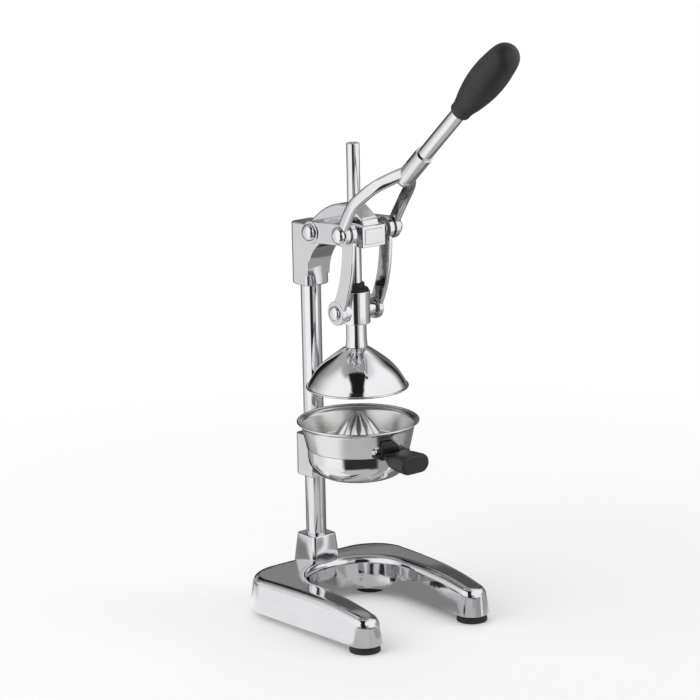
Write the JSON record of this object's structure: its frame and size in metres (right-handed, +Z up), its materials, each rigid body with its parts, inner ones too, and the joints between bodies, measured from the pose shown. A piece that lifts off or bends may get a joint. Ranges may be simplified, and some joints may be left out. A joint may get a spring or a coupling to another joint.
{
  "type": "lever citrus juice press",
  "caption": "Hand lever press: a forked lever and links drive a ram and bell down onto a fluted reamer in a lift-out strainer over a funnel.",
  "frame": {"origin": "middle of the whole press in plan, at the height of the table", "axes": "+Z up; -Y to the front, where the lever and the open side of the base point; +X to the right of a user who stands behind the press"},
  "size_m": [0.202, 0.3564, 0.6461],
  "materials": {
    "chrome_casting": "castings ground smooth and chrome plated",
    "chrome_steel": "turned, spun or drawn steel with mirror chrome plate",
    "satin_steel": "stainless sheet, bright on the wall and softer inside",
    "plated_steel": "zinc plated fasteners",
    "bronze": "plain turned bearing bronze",
    "grip_plastic": "black, fine satin grain",
    "bowl_handle_plastic": "black, smooth satin moulding",
    "rubber": "black, matt"
  },
  "bodies": {
    "base": {"axle_bolt_left": "chrome_steel", "axle_bolt_right": "chrome_steel", "badge_plate": "satin_steel", "base_casting": "chrome_casting", "bowl_bracket": "chrome_casting", "bracket_grub": "plated_steel", "column": "chrome_steel", "column_bolt": "plated_steel", "column_washer": "plated_steel", "foot_pad_front_left": "rubber", "foot_pad_front_right": "rubber", "foot_pad_rear_left": "rubber", "foot_pad_rear_right": "rubber", "foot_screw_front_left": "plated_steel", "foot_screw_front_right": "plated_steel", "foot_screw_rear_left": "plated_steel", "foot_screw_rear_right": "plated_steel", "funnel_bowl": "chrome_steel", "funnel_screw_left": "plated_steel", "funnel_screw_right": "plated_steel", "head_casting": "chrome_casting", "head_grub_lower": "plated_steel", "head_grub_upper": "plated_steel", "lever_axle": "plated_steel", "ram_bush": "bronze"},
    "lever": {"lever_yoke": "chrome_casting", "handle_tube": "chrome_steel", "handle_grip": "grip_plastic", "crank_bolt_right": "chrome_steel", "crank_bolt_left": "chrome_steel", "crank_spacer_right": "plated_steel", "crank_spacer_left": "plated_steel"},
    "ram": {"ram_rod": "chrome_steel", "crosshead": "chrome_steel", "ram_buffer": "rubber", "bell_neck": "chrome_steel", "press_bell": "chrome_steel", "bell_screw": "plated_steel", "trunnion_bolt_right": "chrome_steel", "trunnion_bolt_left": "chrome_steel"},
    "links": {"link_right": "chrome_casting", "link_left": "chrome_casting", "crank_nut_right": "plated_steel", "crank_nut_left": "plated_steel"},
    "strainer": {"strainer_bowl": "satin_steel", "reamer": "satin_steel", "reamer_screw": "plated_steel", "strap": "satin_steel", "strainer_handle": "bowl_handle_plastic"}
  },
  "joints": [
    {"name": "lever_swing", "type": "hinge", "parent": "base", "child": "lever", "pos_m": [0, 0.10866, 0.4215], "axis": [1, 0, 0], "range_deg": [-15, 60]},
    {"name": "ram_slide", "type": "slide", "parent": "base", "child": "ram", "axis": [0, 0, 1], "range_m": [-0.051, 0.0135]},
    {"name": "link_swing", "type": "hinge", "parent": "ram", "child": "links", "pos_m": [0, 0.07916, 0.33728], "axis": [1, 0, 0], "range_deg": [-12, 4]},
    {"name": "strainer_turn", "type": "hinge", "parent": "base", "child": "strainer", "pos_m": [0, 0.07916, 0.1875], "axis": [0, 0, 1], "range_deg": [-145, 145]}
  ],
  "couplings": [
    {"joint": "ram_slide", "follows": "lever_swing", "m_per_rad": -0.0475},
    {"joint": "link_swing", "follows": "lever_swing", "ratio": -0.18}
  ]
}
